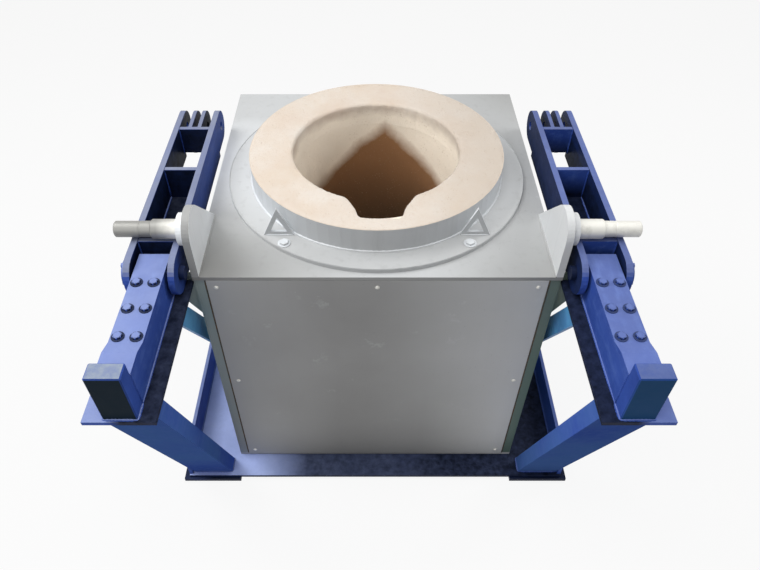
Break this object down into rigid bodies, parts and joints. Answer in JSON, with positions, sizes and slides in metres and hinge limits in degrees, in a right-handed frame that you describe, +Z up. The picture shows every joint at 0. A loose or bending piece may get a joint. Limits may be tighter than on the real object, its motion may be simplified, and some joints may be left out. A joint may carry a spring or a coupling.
{
  "type": "induction melting furnace",
  "caption": "Tilting induction melting furnace: steel box with a lined crucible and pouring notch, on arms pivoted in a welded stand.",
  "frame": {"origin": "on the floor, at the middle of the stand's outline seen from above", "axes": "+Z up, -Y towards the pouring side, +X to the right seen from the pouring side"},
  "size_m": [1.44, 1.511, 1.1873],
  "materials": {
    "blue_paint": "semi-gloss blue enamel on structural steel",
    "grey_paint": "satin grey paint on sheet and plate",
    "bright_steel": "turned bare steel",
    "refractory": "matt rammed refractory",
    "castable": "matt cast refractory",
    "copper": "drawn copper tube",
    "insulating_board": "laminated insulating board"
  },
  "bodies": {
    "stand": {"base_front_plate": "blue_paint", "base_rear_plate": "blue_paint", "beam_cap_left": "blue_paint", "beam_cap_right": "blue_paint", "foot_plate_front_left": "blue_paint", "foot_plate_front_right": "blue_paint", "foot_plate_rear_left": "blue_paint", "foot_plate_rear_right": "blue_paint", "front_strut_left": "blue_paint", "front_strut_right": "blue_paint", "pivot_beam_left": "blue_paint", "pivot_beam_right": "blue_paint", "pivot_pin_left": "bright_steel", "pivot_pin_right": "bright_steel", "rear_strut_left": "blue_paint", "rear_strut_right": "blue_paint", "shelf_plate_left": "blue_paint", "shelf_plate_right": "blue_paint", "side_rail_left": "blue_paint", "side_rail_right": "blue_paint", "stop_block_left": "blue_paint", "stop_block_right": "blue_paint"},
    "furnace": {"arm_floor_plate_left": "blue_paint", "arm_floor_plate_right": "blue_paint", "arm_front_tie_left": "blue_paint", "arm_front_tie_right": "blue_paint", "arm_inner_plate_left": "blue_paint", "arm_inner_plate_right": "blue_paint", "arm_middle_tie_left": "blue_paint", "arm_middle_tie_right": "blue_paint", "arm_outer_plate_left": "blue_paint", "arm_outer_plate_right": "blue_paint", "back_panel": "grey_paint", "base_slab": "castable", "bottom_plate": "grey_paint", "coil_cage": "insulating_board", "crucible_lining": "refractory", "ear_plate_left": "grey_paint", "ear_plate_right": "grey_paint", "front_panel": "grey_paint", "induction_coil": "copper", "left_panel": "grey_paint", "lifting_lug_left": "grey_paint", "lifting_lug_right": "grey_paint", "pin_cover_left": "bright_steel", "pin_cover_right": "bright_steel", "rear_clevis_left": "blue_paint", "rear_clevis_right": "blue_paint", "refractory_ring": "refractory", "right_panel": "grey_paint", "ring_collar": "grey_paint", "ring_flange": "grey_paint", "shaft_keeper_left": "bright_steel", "shaft_keeper_right": "bright_steel", "shell_frame": "grey_paint", "terminal_board": "insulating_board", "top_plate": "grey_paint", "trunnion_shaft_left": "bright_steel", "trunnion_shaft_right": "bright_steel"}
  },
  "joints": [
    {"name": "tilt", "type": "hinge", "parent": "stand", "child": "furnace", "pos_m": [0, -0.3195, 1.0336], "axis": [1, 0, 0], "range_deg": [0, 90]}
  ]
}
